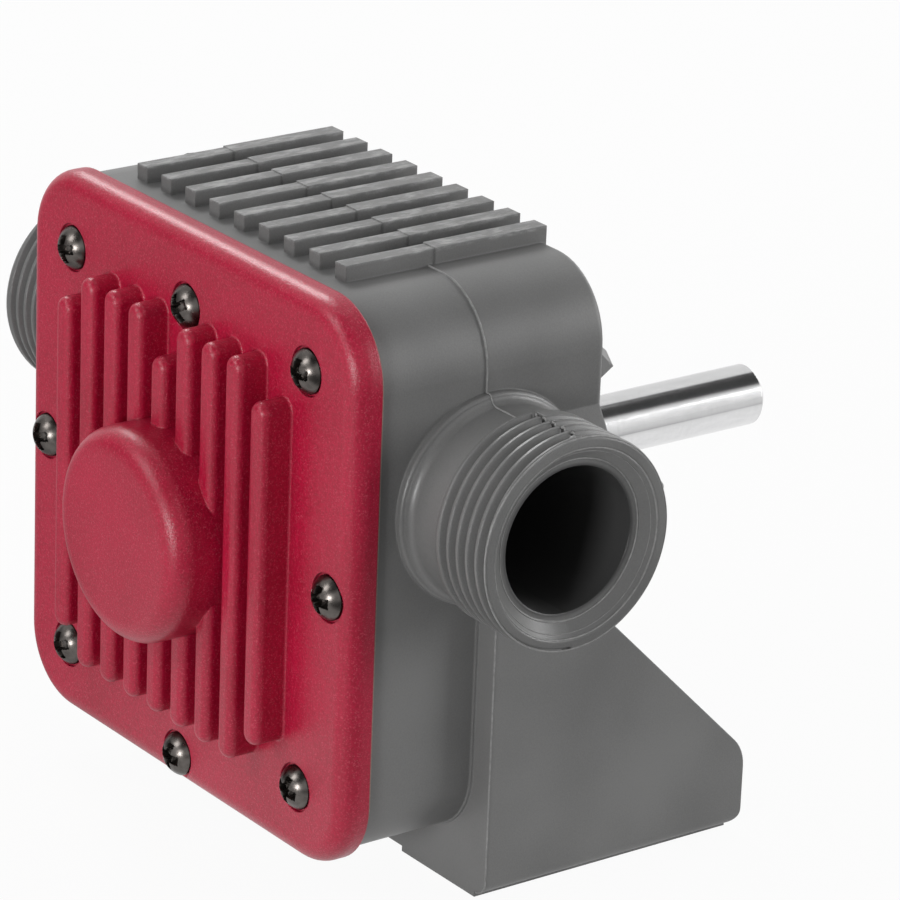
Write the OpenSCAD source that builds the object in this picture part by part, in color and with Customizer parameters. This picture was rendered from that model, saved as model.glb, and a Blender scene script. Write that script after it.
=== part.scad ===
// Drill powered pump: a hand-sized transfer pump whose shaft is gripped in a drill chuck.
// X runs across the two hose ports, Y runs back along the shaft, Z is up.
// The origin is on the floor, on the shaft's centre plane, under the middle of the pump's length.
// Sizes along Y are counted from the plane of the port axes, the housing's parting plane.

/* [Case] */
// Width of the case block
case_w = 69.4; // [68.6:0.2:72]
// Height of the case block
case_h = 70.2; // [69.2:0.2:73]
// Radius of the case's four long edges
case_corner_r = 9.4; // [7:0.2:10]
// Distance from the port plane forward to the case's front face
case_front = 15.7; // [15:0.1:18]
// Distance from the port plane back to the case's rear face
case_rear = 16.35; // [16.2:0.05:19]
// Step at the parting plane, where the front half is a little smaller
parting_step = 0.15; // [0.05:0.05:0.3]
// Width of the rim around the sunk rear panel
rear_rim = 3; // [2:0.5:5]
// Depth of the sunk rear panel
rear_recess = 2.4; // [1:0.2:3]
// Height of the case's underside above the floor
case_lift = 6.25; // [5:0.25:7]

/* [Top ribs] */
// Number of cooling ribs on top
top_ribs = 9; // [5:2:9]
// Centre distance of the top ribs
top_rib_pitch = 5.283; // [4.6:0.1:5.4]
// Width of a top rib behind the parting plane
top_rib_w = 2.5; // [2:0.1:3.2]
// Height of a top rib
top_rib_h = 2; // [1:0.2:3]
// Gap between the case's front face and the front ends of the ribs
top_rib_setback = 3.05; // [1:0.5:6]

/* [Chamber] */
// Radius of the pumping chamber, on the shaft axis
chamber_r = 25; // [24.6:0.1:25.4]
// Depth of the pumping chamber behind the case's front face
chamber_depth = 26; // [25.6:0.1:27]
// How far the cam between the ports reaches into the chamber
cam_rise = 2.8; // [1.6:0.2:2.8]
// Radius of the cam's face
cam_r = 8; // [7:0.2:8]
// How far the shaft axis lies below the case's centre
shaft_drop = 1.2; // [0.8:0.2:1.6]

/* [Ports] */
// Distance from the centre plane to a port's end face
port_reach = 51.84; // [50:0.5:56]
// Height of the port axis above the case's centre
port_rise = 9.9; // [9:0.1:10.2]
// Radius of the port bore
port_bore_r = 9.06; // [8:0.1:9.2]
// Distance from the centre plane to the step where the port bore narrows
port_step_x = 30; // [29:0.5:34]
// Outer radius of the port thread
thread_r = 13.22; // [13.1:0.02:13.4]
// Pitch of the port thread
thread_pitch = 1.814; // [1.7:0.02:1.9]
// Depth of the port thread
thread_depth = 1.16; // [0.9:0.02:1.2]
// Number of thread grooves
thread_turns = 5; // [3:1:6]
// Depth of the dished mouth
mouth_depth = 1.67; // [1:0.1:2.5]
// Radius of the dished mouth at the end face
mouth_r = 11.9; // [11.2:0.1:12.3]
// Radius of the collar at a port's root
collar_r = 13.3; // [12.8:0.1:14]
// Length of the collar beyond the case's side, before it runs down to the neck
collar_len = 0.9; // [0.6:0.1:2]
// Height of the saddle behind a port
saddle_h = 17.4; // [14:0.2:18]

/* [Foot] */
// Half width of the foot
foot_half_w = 37.96; // [36.5:0.2:40]
// Distance from the port plane back to the foot's rear edge
foot_rear = 38.77; // [34:0.5:42]
// Distance from the port plane forward to the foot's front plate
foot_front = 0.62; // [0.2:0.1:2]
// Wall thickness of the foot
foot_wall = 2.6; // [2:0.1:3]
// Height of the vertical rear edge of a side gusset
gusset_edge_h = 11; // [6:0.5:14]
// Height where the gusset's slope meets the front plate
gusset_top = 50; // [46:0.2:50.4]
// Height of the two pads under the foot
pad_h = 0.7; // [0.4:0.1:1]
// Distance from the centre plane to a pad's inner edge
pad_inner = 20.9; // [15:1:26]
// Distance from the centre plane to a pad's outer edge
pad_outer = 35.9; // [34:0.1:36]

/* [Rear bearing] */
// Radius of the bearing boss
boss_r = 10; // [9.5:0.25:11]
// Distance from the port plane back to the boss's rear end
boss_rear = 35; // [33:0.5:37]
// Thickness of a gusset fin on the boss
fin_t = 2.2; // [2:0.2:4]
// Radius of a fin's outer corner at the boss's rear end
fin_tip_r = 25.4; // [18:0.2:26]

/* [Cover] */
// Width of the front cover
cover_w = 70.5; // [70:0.1:74]
// Height of the front cover
cover_h = 71.2; // [70.6:0.1:75]
// Radius of the cover's corners
cover_corner_r = 9.4; // [7:0.2:11]
// Thickness of the cover's plate
cover_t = 3.8; // [3.4:0.1:5]
// Radius of the cover's rounded front edge
cover_edge_r = 2.5; // [1.5:0.1:3]
// Number of ribs on the cover
cover_ribs = 9; // [5:2:9]
// Centre distance of the cover's ribs
cover_rib_pitch = 5.283; // [4.6:0.1:5.3]
// Width of a cover rib
cover_rib_w = 3.1; // [2.8:0.1:3.4]
// Height of a cover rib
cover_rib_h = 4.15; // [2.5:0.1:5]
// Radius of a cover rib's front edges
cover_rib_edge_r = 1.1; // [0.5:0.1:1.3]
// Upper end of the inner ribs above the case's centre
rib_inner_up = 25.9; // [22:0.2:26]
// Lower end of the inner ribs below the case's centre
rib_inner_down = 25.3; // [22:0.2:26]
// Upper end of the two outer ribs above the case's centre
rib_outer_up = 21.9; // [18:0.2:22]
// Lower end of the two outer ribs below the case's centre
rib_outer_down = 21.6; // [18:0.2:21.6]
// Upper end of the centre rib above the case's centre
rib_centre_up = 20.8; // [16:0.2:21]
// Radius of the round boss on the cover
nose_r = 13.4; // [12.8:0.1:14]
// Height of the round boss above the cover's face
nose_h = 9.9; // [9.4:0.1:12]
// Radius of the boss's front edge
nose_edge_r = 3; // [2:0.2:4]

/* [Fasteners] */
// Radius of a screw head
head_r = 2.75; // [2.6:0.05:3]
// Height of a screw head's dome above its rim
head_dome_h = 1.7; // [1.2:0.1:1.8]
// Height of a screw head's rim
head_rim_h = 0.4; // [0.2:0.1:0.6]
// Radius of a screw's shank
screw_r = 1.45; // [1.3:0.05:1.6]
// Length of a screw below its head
screw_len = 14; // [12:0.5:15]
// Sideways place of the corner screws
screw_corner_x = 25.3; // [24.9:0.1:25.6]
// Height of the corner screws from the case's centre
screw_corner_z = 26.35; // [26:0.1:26.6]
// Sideways place of the two side screws
screw_side_x = 30.7; // [30.4:0.1:31]
// Distance of the bottom screw below the case's centre
screw_bottom_z = 31.8; // [31.6:0.1:32]
// Distance of the top screw above the case's centre
screw_top_z = 26.5; // [26.4:0.1:26.8]

/* [Shaft and impeller] */
// Radius of the drive shaft
shaft_r = 4; // [3.9:0.05:4.1]
// Distance from the port plane back to the shaft's free end
shaft_rear = 67.95; // [60:0.5:75]
// Number of impeller vanes
vanes = 6; // [4:2:6]
// Thickness of a vane
vane_t = 2.2; // [1.6:0.1:2.6]
// Radius of the bead along a vane's tip
vane_bead_r = 1.5; // [1.2:0.1:1.6]
// Radius of the impeller's rubber hub
impeller_hub_r = 10.2; // [9.4:0.1:11]
// Outer radius of the hub insert
insert_r = 7.5; // [7:0.1:8]
// Radius of the cross pin that drives the impeller
pin_r = 1.5; // [1.2:0.1:1.6]

/* [Bushes and seal] */
// Outer radius of both bushes
bush_r = 6; // [5.6:0.1:6.4]
// Length of the front bush
front_bush_len = 9.5; // [7:0.5:9.5]
// Length of the rear bush
rear_bush_len = 12; // [8:0.5:12]
// Outer radius of the shaft seal
seal_r = 8; // [7.4:0.1:8]
// Length of the shaft seal
seal_len = 6; // [5:0.5:7]
// Thickness of the cover gasket
gasket_t = 0.5; // [0.3:0.1:0.8]
// Thickness of the two wear plates
wear_plate_t = 0.8; // [0.5:0.1:1]

/* [Hidden] */

// Smoothness of the large and the small round forms
$fn = 64;
fine_fn = 20;
thread_fn = 32;
nose_fn = 40;

// Overrun that every cut takes past a face
over = 1;

// Clearances that the fits share
press_gap = 0.01;
running_gap = 0.03;
side_gap = 0.2;
end_gap = 0.1;
hole_gap = 0.25;

// Places that follow from the sizes above
case_z = case_lift + case_h / 2;
shaft_z = case_z - shaft_drop;
port_z = case_z + port_rise;
case_top = case_lift + case_h;
cover_rear = -case_front - gasket_t;
cover_face = cover_rear - cover_t;
chamber_floor = chamber_depth - case_front;
case_half_w = case_w / 2;
length_middle = (shaft_rear + cover_face - nose_h) / 2;

// Screw places about the case's centre
screw_places = [
    [screw_corner_x, screw_corner_z],
    [-screw_corner_x, screw_corner_z],
    [screw_corner_x, -screw_corner_z],
    [-screw_corner_x, -screw_corner_z],
    [screw_side_x, 0],
    [-screw_side_x, 0],
    [0, screw_top_z],
    [0, -screw_bottom_z]
];
head_sink = 0.5;
head_gap = 0.3;
pilot_tip = 0.8;
cross_w = 0.85;
cross_len = 3.1;
cross_depth = 1.2;
cross_turn = 37;
screw_tip_h = 1.8;
screw_tip_r = 0.4;

// Thread form and its tilt, which gives each half turn half a pitch of lead
thread_root_w = 0.3;
thread_crest_w = 0.44;
thread_tilt = atan(thread_pitch / (4 * thread_r));
thread_end_angle = 0.6;
neck_r = thread_r - thread_depth;
sleeve_tail = 0.45;
notch_w = 0.6;
notch_depth_share = 0.8;
rim_land = 0.6;
collar_edge_r = 0.45;
rim_chamfer = 0.35;
port_step_h = 0.45;
mouth_land_w = 0.8;
mouth_land_r = port_bore_r + mouth_land_w;

// Rounded rear edge of the case
case_edge_r = 0.9;
case_edge_t = 1.2;

// Foot details
foot_edge_r = 1.9;
gusset_low_r = 2.4;
gusset_high_r = 5.5;
pad_end_gap = 0.8;
saddle_step = 0.5;
saddle_out = 3;
saddle_slope_share = 0.28;

// Cover details
rib_root_r = 0.3;
nose_root_r = 1;
nose_wall = 2;
nose_core_wall = 3.4;
nose_core_t = 2.5;
thrust_disc_t = 0.6;

// Rear bearing details
seal_step_t = 4;
seal_pocket_play = 0.5;
boss_chamfer = 0.6;
bearing_floor = chamber_floor + seal_len + seal_pocket_play + seal_step_t;
shaft_hole_gap = 1;
shaft_hole_r = shaft_r + shaft_hole_gap;
fin_inset = 3.9;
fin_chamfer = 1.2;

// Seal details
seal_case_t = 0.8;
seal_lip_t = 1.2;
seal_throat_gap = 1.6;
seal_throat_r = shaft_r + seal_throat_gap;
spring_wire_r = 0.45;
spring_ring_r = shaft_r + seal_lip_t + spring_wire_r;

// Rotor details
shaft_front = cover_face - nose_h + nose_wall + thrust_disc_t + end_gap;
shaft_chamfer = 0.7;
impeller_front = cover_rear + wear_plate_t + side_gap;
impeller_rear = chamber_floor - wear_plate_t - side_gap;
insert_inset = 2.2;
insert_front = impeller_front + insert_inset;
insert_rear = impeller_rear - insert_inset;
pin_inset = 6;
pin_end_gap = 0.7;
pin_y = insert_rear - pin_inset;
pin_len = 2 * (insert_r - pin_end_gap);
vane_tip_gap = 0.15;
vane_tip_r = chamber_r - vane_tip_gap;
vane_root_t = 3.4;
vane_turn = 15;
clip_t = 0.8;
clip_groove_depth = 0.3;
clip_w = 1.5;
clip_lug_r = 0.95;
clip_eye_r = 0.4;
clip_gap_angle = 50;
front_clip_y = insert_front - clip_t - end_gap;
washer_t = 1;
washer_r = 7.5;
washer_y = boss_rear + end_gap;
rear_clip_y = washer_y + washer_t;
plate_hole_gap = 0.3;
plate_hole_r = insert_r + plate_hole_gap;
plate_rim_gap = 0.1;

// Two-dimensional and turning helpers

function unit(v) = v / norm(v);

// Rounds one corner of an outline by giving the sliver to take away
module corner_sliver(before, corner, after, r) {
    to_before = unit(before - corner);
    to_after = unit(after - corner);
    half_angle = acos(to_before * to_after) / 2;
    run = r / tan(half_angle);
    centre = corner + unit(to_before + to_after) * r / sin(half_angle);
    difference() {
        polygon([corner, corner + to_before * run, centre, corner + to_after * run]);
        translate(centre) circle(r);
    }
}

// Draws an outline in X and Z, from y0 back to y1
module along_y(y0, y1) {
    translate([0, y1, 0]) rotate([90, 0, 0]) linear_extrude(height = y1 - y0) children();
}

// Draws an outline in Y and Z, from x0 to x1
module along_x(x0, x1) {
    translate([x0, 0, 0]) rotate([90, 0, 90]) linear_extrude(height = x1 - x0) children();
}

// Turns a profile of radius and place about an axis along Y
module turned() {
    rotate([-90, 0, 0]) rotate_extrude() children();
}

module bar_y(r, y0, y1) {
    translate([0, y0, 0]) rotate([-90, 0, 0]) cylinder(r = r, h = y1 - y0);
}

module bar_x(r, x0, x1) {
    translate([x0, 0, 0]) rotate([0, 90, 0]) cylinder(r = r, h = x1 - x0);
}

module ring_y(r_out, r_in, y0, y1) {
    difference() {
        bar_y(r_out, y0, y1);
        bar_y(r_in, y0 - over, y1 + over);
    }
}

module rounded_rect(w, h, r) {
    square([w - 2 * r, h], center = true);
    square([w, h - 2 * r], center = true);
    for (sx = [-1, 1], sz = [-1, 1])
        translate([sx * (w / 2 - r), sz * (h / 2 - r)]) circle(r);
}

// Puts a piece that is drawn about the port plane where the finished pump has it
module placed() {
    translate([0, -length_middle, 0]) children();
}

module at_shaft() {
    translate([0, 0, shaft_z]) children();
}

module at_case() {
    translate([0, 0, case_z]) children();
}

// Chamber outline about the shaft axis, drawn smaller by a gap
module chamber_outline(gap = 0) {
    difference() {
        circle(chamber_r - gap);
        translate([0, chamber_r - cam_rise + cam_r]) circle(cam_r + gap);
    }
}

// Housing

module case_block() {
    at_case() {
        along_y(-case_front, 0)
            rounded_rect(case_w - 2 * parting_step, case_h - 2 * parting_step, case_corner_r);
        difference() {
            union() {
                along_y(-over, case_rear - case_edge_t) rounded_rect(case_w, case_h, case_corner_r);
                translate([0, case_rear, 0]) mirror([0, 1, 0])
                    soft_plate(case_w, case_h, case_corner_r, case_edge_r, case_edge_t);
            }
            along_y(case_rear - rear_recess, case_rear + over)
                rounded_rect(case_w - 2 * rear_rim, case_h - 2 * rear_rim, case_corner_r - rear_rim);
        }
    }
}

// One top rib, in two lengths that meet at the parting plane
module top_rib() {
    front_w = top_rib_w - 2 * parting_step;
    root_z = case_top - rear_rim / 2;
    front_y = top_rib_setback - case_front;
    translate([-front_w / 2, front_y, root_z])
        cube([front_w, over - front_y, case_top + top_rib_h - parting_step - root_z]);
    translate([-top_rib_w / 2, 0, root_z])
        cube([top_rib_w, case_rear, case_top + top_rib_h - root_z]);
}

// Groove of one half turn of thread, before its tilt, ending just short of the parting plane
module thread_groove_half() {
    $fn = thread_fn;
    top_half_w = (thread_pitch - thread_crest_w) / 2;
    flank = (top_half_w - thread_root_w / 2) / thread_depth;
    out_half_w = top_half_w + flank * over;
    rotate([0, 0, thread_end_angle]) rotate_extrude(angle = 180 - 2 * thread_end_angle)
        polygon([
            [thread_r - thread_depth, -thread_root_w / 2],
            [thread_r + over, -out_half_w],
            [thread_r + over, out_half_w],
            [thread_r - thread_depth, thread_root_w / 2]
        ]);
}

// Threaded sleeve of one port, with small notches in its crests along the parting plane
module thread_sleeve(start_x) {
    $fn = thread_fn;
    notch_floor = thread_r - thread_depth * notch_depth_share;
    difference() {
        union() {
            bar_x(thread_r, start_x, port_reach - rim_chamfer);
            translate([port_reach - rim_chamfer, 0, 0]) rotate([0, 90, 0])
                cylinder(r1 = thread_r, r2 = thread_r - rim_chamfer, h = rim_chamfer);
        }
        for (i = [0 : thread_turns - 1]) {
            front_x = port_reach - (i + 1 / 2) * thread_pitch;
            translate([front_x, 0, 0]) rotate([0, 90 - thread_tilt, 0]) rotate([0, 0, 180])
                thread_groove_half();
            if (i > 0)
                translate([front_x + thread_pitch / 2, 0, 0]) rotate([0, 90 + thread_tilt, 0])
                    thread_groove_half();
        }
        for (side = [0, 1]) mirror([0, 0, side])
            translate([start_x - over, -notch_w / 2, notch_floor])
                cube([port_reach - rim_land - start_x + over, notch_w, thread_r]);
    }
}

// Solid of one port, along +X from the case's side, about its own axis
module port_stem() {
    start_x = port_reach - thread_turns * thread_pitch - sleeve_tail;
    bar_x(neck_r, case_half_w - rear_rim, start_x + sleeve_tail / 3);
    thread_sleeve(start_x);
}

// Collar at a port's root, its edge rounded, running down to the neck in a hollow curve
module port_collar() {
    $fn = nose_fn;
    root = rear_rim;
    run = collar_r - neck_r;
    translate([case_half_w - root, 0, 0]) rotate([0, 90, 0]) rotate_extrude() {
        square([collar_r - collar_edge_r, root + collar_len]);
        square([collar_r, root + collar_len - collar_edge_r]);
        translate([collar_r - collar_edge_r, root + collar_len - collar_edge_r]) circle(collar_edge_r);
        difference() {
            square([collar_r - collar_edge_r, root + collar_len + run]);
            translate([collar_r, root + collar_len + run]) circle(run);
        }
    }
}

// Flared block that backs each port behind the parting plane
module port_saddle() {
    half_h = saddle_h / 2;
    slope_x = case_half_w + saddle_out;
    along_y(0, case_rear - saddle_step)
        polygon([
            [case_half_w - rear_rim, half_h],
            [case_half_w, half_h],
            [slope_x, half_h - saddle_slope_share * saddle_h],
            [slope_x, -half_h],
            [case_half_w - rear_rim, -half_h]
        ]);
}

module both_ports() {
    translate([0, 0, port_z]) {
        for (turn = [0, 180]) rotate([0, 0, turn]) port_stem();
        for (side = [0, 1]) mirror([side, 0, 0]) {
            port_collar();
            port_saddle();
        }
    }
}

module port_bores() {
    translate([0, 0, port_z])
        for (turn = [0, 180]) rotate([0, 0, turn]) {
            bar_x(port_bore_r - port_step_h, chamber_r / 2, port_step_x + over);
            bar_x(port_bore_r, port_step_x, port_reach + over);
            translate([port_reach - mouth_depth, 0, 0]) rotate([0, 90, 0])
                cylinder(r1 = mouth_land_r, r2 = mouth_r, h = mouth_depth);
            bar_x(mouth_r, port_reach, port_reach + over);
        }
}

// Foot seen from the front, with rounded lower edges and its two pads
module foot_front_outline() {
    flat_half_w = foot_half_w - foot_edge_r;
    translate([-foot_half_w, pad_h + foot_edge_r])
        square([2 * foot_half_w, gusset_top - pad_h - foot_edge_r]);
    translate([-flat_half_w, pad_h]) square([2 * flat_half_w, 2 * foot_edge_r]);
    for (side = [-1, 1])
        translate([side * flat_half_w, pad_h + foot_edge_r]) circle(foot_edge_r);
}

// Foot seen from the side
module foot_side_outline() {
    points = [
        [-foot_front, pad_h],
        [foot_rear, pad_h],
        [foot_rear, gusset_edge_h],
        [-foot_front, gusset_top]
    ];
    difference() {
        polygon(points);
        corner_sliver(points[0], points[1], points[2], gusset_low_r);
        corner_sliver(points[1], points[2], points[3], gusset_high_r);
    }
}

module foot() {
    inner_low = pad_h + foot_wall;
    difference() {
        intersection() {
            along_y(-foot_front, foot_rear) foot_front_outline();
            along_x(-foot_half_w, foot_half_w) foot_side_outline();
        }
        translate([-case_half_w, foot_wall - foot_front, inner_low])
            cube([case_w, foot_rear, gusset_top]);
    }
    for (side = [-1, 1])
        translate([side * (pad_inner + pad_outer) / 2, -foot_front, 0])
            translate([(pad_inner - pad_outer) / 2, 0, 0])
                cube([pad_outer - pad_inner, foot_rear + foot_front - pad_end_gap, inner_low]);
}

module bearing_boss() {
    at_shaft() {
        bar_y(boss_r, chamber_floor, boss_rear - boss_chamfer);
        translate([0, boss_rear - boss_chamfer, 0]) rotate([-90, 0, 0])
            cylinder(r1 = boss_r, r2 = boss_r - boss_chamfer, h = boss_chamfer);
        for (turn = [45 : 90 : 315]) rotate([0, turn, 0]) gusset_fin();
    }
}

// Diagonal fin that stiffens the boss, sloping at 45 degrees to the rear panel
module gusset_fin() {
    root_y = case_rear - rear_recess - over;
    end_y = boss_rear - fin_inset;
    root_r = fin_tip_r + end_y - root_y;
    translate([0, 0, -fin_t / 2]) linear_extrude(height = fin_t)
        polygon([
            [0, root_y],
            [root_r, root_y],
            [fin_tip_r, end_y - fin_chamfer],
            [fin_tip_r - fin_chamfer, end_y],
            [0, end_y]
        ]);
}

module bearing_cuts() {
    at_shaft() {
        bar_y(seal_r, chamber_floor - over, chamber_floor + seal_len + seal_pocket_play);
        bar_y(shaft_hole_r, chamber_floor - over, boss_rear + over);
        bar_y(bush_r, bearing_floor, boss_rear + over);
    }
}

module pilot_holes() {
    depth = screw_len - cover_t + head_sink - gasket_t + pilot_tip;
    at_case() for (place = screw_places)
        translate([place[0], 0, place[1]])
            bar_y(screw_r + press_gap, -case_front - over, depth - case_front);
}

module housing() {
    color([0.42, 0.42, 0.42]) placed()
    difference() {
        union() {
            case_block();
            for (i = [0 : top_ribs - 1])
                translate([(i - (top_ribs - 1) / 2) * top_rib_pitch, 0, 0]) top_rib();
            both_ports();
            foot();
            bearing_boss();
        }
        at_shaft() along_y(-case_front - over, chamber_floor) chamber_outline();
        port_bores();
        bearing_cuts();
        pilot_holes();
    }
}

// Front cover

// Section of a plate's edge: outward along X, back along Y, its front outer edge rounded
module edge_section(reach, edge, t) {
    square([reach - edge, t]);
    translate([0, edge]) square([reach, t - edge]);
    intersection() {
        translate([reach - edge, edge]) circle(edge);
        square([reach, t]);
    }
}

// Plate with a rounded front edge, its front face at y = 0
module soft_plate(w, h, corner, edge, t) {
    $fn = nose_fn;
    across = w - 2 * corner;
    up = h - 2 * corner;
    translate([-across / 2, 0, -up / 2]) cube([across, t, up]);
    for (side = [0, 1]) {
        mirror([side, 0, 0]) translate([across / 2, 0, -up / 2])
            linear_extrude(height = up) edge_section(corner, edge, t);
        mirror([0, 0, side]) translate([across / 2, 0, up / 2]) rotate([0, -90, 0])
            linear_extrude(height = across) edge_section(corner, edge, t);
    }
    for (sx = [0, 1], sz = [0, 1]) mirror([sx, 0, 0]) mirror([0, 0, sz])
        translate([across / 2, 0, -up / 2]) rotate([-90, 0, 0])
            rotate_extrude(angle = 90) edge_section(corner, edge, t);
}

// Right half of a rib's section, as width outward and height forward
module rib_half_section() {
    half_w = cover_rib_w / 2;
    edge = cover_rib_edge_r;
    translate([0, -over]) square([half_w, cover_rib_h - edge + over]);
    square([half_w - edge, cover_rib_h]);
    intersection() {
        translate([half_w - edge, cover_rib_h - edge]) circle(edge);
        square([half_w, cover_rib_h]);
    }
    difference() {
        square([half_w + rib_root_r, rib_root_r]);
        translate([half_w + rib_root_r, rib_root_r]) circle(rib_root_r);
    }
}

// Rib with round ends, standing forward of y = 0 from z0 up to z1
module cover_rib(z0, z1) {
    $fn = fine_fn;
    end = cover_rib_w / 2;
    mirror([0, 1, 0]) {
        translate([0, 0, z0 + end]) linear_extrude(height = z1 - z0 - 2 * end) {
            rib_half_section();
            mirror([1, 0]) rib_half_section();
        }
        for (z = [z0 + end, z1 - end]) translate([0, 0, z]) turned() rib_half_section();
    }
}

module cover_ribs_all() {
    middle = (cover_ribs - 1) / 2;
    for (i = [0 : cover_ribs - 1]) {
        outer = i == 0 || i == cover_ribs - 1;
        up = outer ? rib_outer_up : i == middle ? rib_centre_up : rib_inner_up;
        down = outer ? rib_outer_down : rib_inner_down;
        translate([(i - middle) * cover_rib_pitch, 0, 0]) cover_rib(-down, up);
    }
}

module nose() {
    $fn = nose_fn;
    mirror([0, 1, 0]) turned() {
        translate([0, -over]) square([nose_r, nose_h - nose_edge_r + over]);
        square([nose_r - nose_edge_r, nose_h]);
        translate([nose_r - nose_edge_r, nose_h - nose_edge_r]) circle(nose_edge_r);
        difference() {
            square([nose_r + nose_root_r, nose_root_r]);
            translate([nose_r + nose_root_r, nose_root_r]) circle(nose_root_r);
        }
    }
}

module front_cover() {
    core_in = bush_r + nose_core_t;
    core_out = nose_r - nose_core_t;
    color([0.67, 0.2, 0.27]) placed()
    difference() {
        union() {
            at_case() translate([0, cover_face, 0]) {
                soft_plate(cover_w, cover_h, cover_corner_r, cover_edge_r, cover_t);
                cover_ribs_all();
            }
            at_shaft() translate([0, cover_face, 0]) nose();
        }
        at_shaft() {
            bar_y(bush_r, cover_face - nose_h + nose_wall, cover_rear + over);
            ring_y(core_out, core_in, cover_face - nose_h + nose_core_wall, cover_rear + over);
        }
        at_case() for (place = screw_places) translate([place[0], 0, place[1]]) {
            bar_y(screw_r + hole_gap, cover_face - over, cover_rear + over);
            bar_y(head_r + head_gap, cover_face - over, cover_face + head_sink);
        }
    }
}

module cover_gasket() {
    color([0.9, 0.88, 0.8]) placed()
    difference() {
        at_case() along_y(cover_rear, -case_front)
            rounded_rect(case_w + parting_step, case_h + parting_step, case_corner_r);
        at_shaft() bar_y(chamber_r, cover_rear - over, over - case_front);
        at_case() for (place = screw_places)
            translate([place[0], 0, place[1]])
                bar_y(screw_r + hole_gap, cover_rear - over, over - case_front);
    }
}

// Screws

// Domed head with a cross recess, its seat at y = 0
module cover_screw() {
    $fn = fine_fn;
    head_h = head_rim_h + head_dome_h;
    dome_r = (head_r * head_r + head_dome_h * head_dome_h) / (2 * head_dome_h);
    difference() {
        mirror([0, 1, 0]) turned() intersection() {
            translate([0, head_h - dome_r]) circle(dome_r);
            square([head_r, head_h]);
        }
        for (turn = [0, 90]) rotate([0, turn, 0])
            translate([-cross_len / 2, -head_h - over, -cross_w / 2])
                cube([cross_len, cross_depth + over, cross_w]);
    }
    bar_y(screw_r, -head_rim_h / 2, screw_len - screw_tip_h);
    translate([0, screw_len - screw_tip_h, 0]) rotate([-90, 0, 0])
        cylinder(r1 = screw_r, r2 = screw_tip_r, h = screw_tip_h);
}

module cover_screws() {
    color([0.2, 0.19, 0.18]) placed()
    at_case() for (i = [0 : len(screw_places) - 1])
        translate([screw_places[i][0], cover_face + head_sink, screw_places[i][1]])
            rotate([0, i * cross_turn, 0]) cover_screw();
}

// Bushes, wear plates and seal

module front_bush() {
    rear_y = cover_rear - end_gap;
    color([0.72, 0.53, 0.3]) placed()
    at_shaft() ring_y(bush_r - press_gap, shaft_r + running_gap, rear_y - front_bush_len, rear_y);
}

module front_thrust_disc() {
    floor_y = cover_face - nose_h + nose_wall;
    color([0.8, 0.8, 0.82]) placed()
    at_shaft() bar_y(bush_r - running_gap, floor_y, floor_y + thrust_disc_t);
}

module wear_plate(y0) {
    difference() {
        along_y(y0, y0 + wear_plate_t) chamber_outline(plate_rim_gap);
        bar_y(plate_hole_r, y0 - over, y0 + wear_plate_t + over);
    }
}

module front_wear_plate() {
    color([0.8, 0.8, 0.82]) placed() at_shaft() wear_plate(cover_rear);
}

module rear_wear_plate() {
    color([0.8, 0.8, 0.82]) placed() at_shaft() wear_plate(chamber_floor - wear_plate_t);
}

// Steel cup of the lip seal, open towards the chamber
module seal_case() {
    rear_y = chamber_floor + seal_len;
    color([0.6, 0.62, 0.64]) placed()
    at_shaft() {
        ring_y(seal_r - press_gap, seal_r - seal_case_t, chamber_floor, rear_y);
        ring_y(seal_r - seal_case_t / 2, seal_throat_r, rear_y - seal_case_t, rear_y);
    }
}

// Rubber of the lip seal: a ring in the cup, a web, and the lip that the spring presses
module seal_lip() {
    $fn = nose_fn;
    rear_y = seal_len - seal_case_t;
    lip_r = shaft_r + running_gap;
    groove_y = seal_len / 4;
    color([0.12, 0.12, 0.12]) placed()
    at_shaft() translate([0, chamber_floor, 0]) turned()
        difference() {
            union() {
                translate([seal_r - seal_case_t - seal_lip_t, 0]) square([seal_lip_t, rear_y]);
                translate([lip_r, rear_y - seal_lip_t])
                    square([seal_r - seal_case_t - lip_r, seal_lip_t]);
                translate([lip_r, end_gap]) square([seal_lip_t, rear_y - end_gap]);
            }
            translate([spring_ring_r, groove_y]) circle(spring_wire_r + running_gap);
        }
}

module seal_spring() {
    $fn = fine_fn;
    color([0.75, 0.75, 0.77]) placed()
    at_shaft() translate([0, chamber_floor, 0]) turned()
        translate([spring_ring_r, seal_len / 4]) circle(spring_wire_r);
}

module rear_bush() {
    color([0.72, 0.53, 0.3]) placed()
    at_shaft() ring_y(bush_r - press_gap, shaft_r + running_gap,
        bearing_floor, bearing_floor + rear_bush_len);
}

// Rotor

module drive_shaft() {
    color([0.82, 0.82, 0.84]) placed()
    at_shaft() difference() {
        turned() polygon([
            [0, shaft_front],
            [shaft_r - shaft_chamfer, shaft_front],
            [shaft_r, shaft_front + shaft_chamfer],
            [shaft_r, shaft_rear - shaft_chamfer],
            [shaft_r - shaft_chamfer, shaft_rear],
            [0, shaft_rear]
        ]);
        for (y = [front_clip_y, rear_clip_y])
            ring_y(shaft_r + over, shaft_r - clip_groove_depth, y - running_gap, y + clip_t + running_gap);
        translate([0, pin_y, -shaft_r - over]) cylinder(r = pin_r, h = 2 * (shaft_r + over));
    }
}

module drive_pin() {
    color([0.7, 0.7, 0.72]) placed()
    at_shaft() translate([0, pin_y, -pin_len / 2]) cylinder(r = pin_r - press_gap, h = pin_len);
}

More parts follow.
